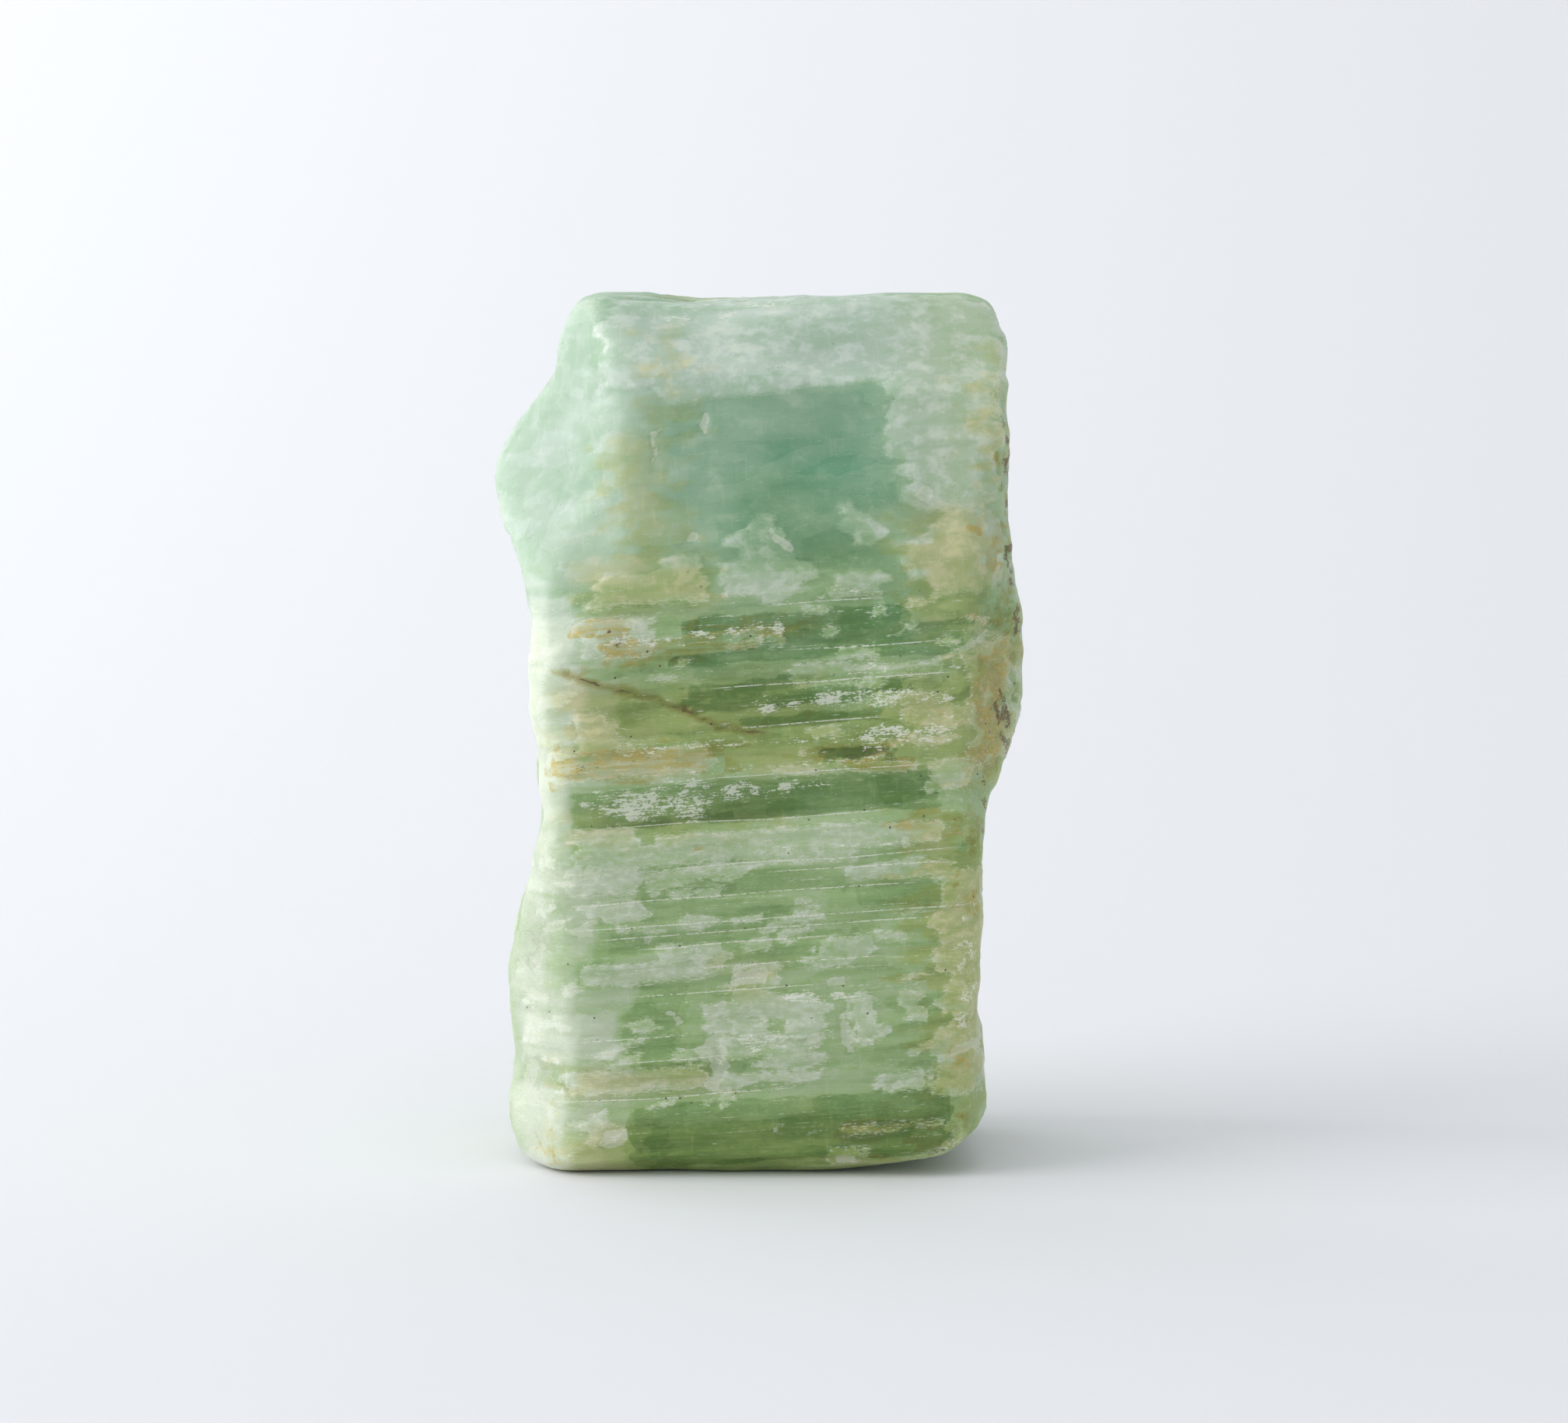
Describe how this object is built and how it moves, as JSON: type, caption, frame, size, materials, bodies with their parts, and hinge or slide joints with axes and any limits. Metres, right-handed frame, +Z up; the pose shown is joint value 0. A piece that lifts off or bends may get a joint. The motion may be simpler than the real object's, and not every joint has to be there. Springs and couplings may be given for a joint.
{
  "type": "rough aquamarine",
  "caption": "Rough-tumbled lump of cloudy pale green aquamarine with striated faces, iron-stained edges and a small flat spot it stands on.",
  "frame": {"origin": "on the ground under the middle of the stone, where it rests on its small flat spot", "axes": "+Z up along the stone's longest side, -Y out of the broad striated face in the picture, +X to that face's right"},
  "size_m": [0.038, 0.025, 0.062],
  "materials": {
    "cloudy_aquamarine": "satin"
  },
  "bodies": {
    "root": {"aquamarine": "cloudy_aquamarine"}
  },
  "joints": []
}
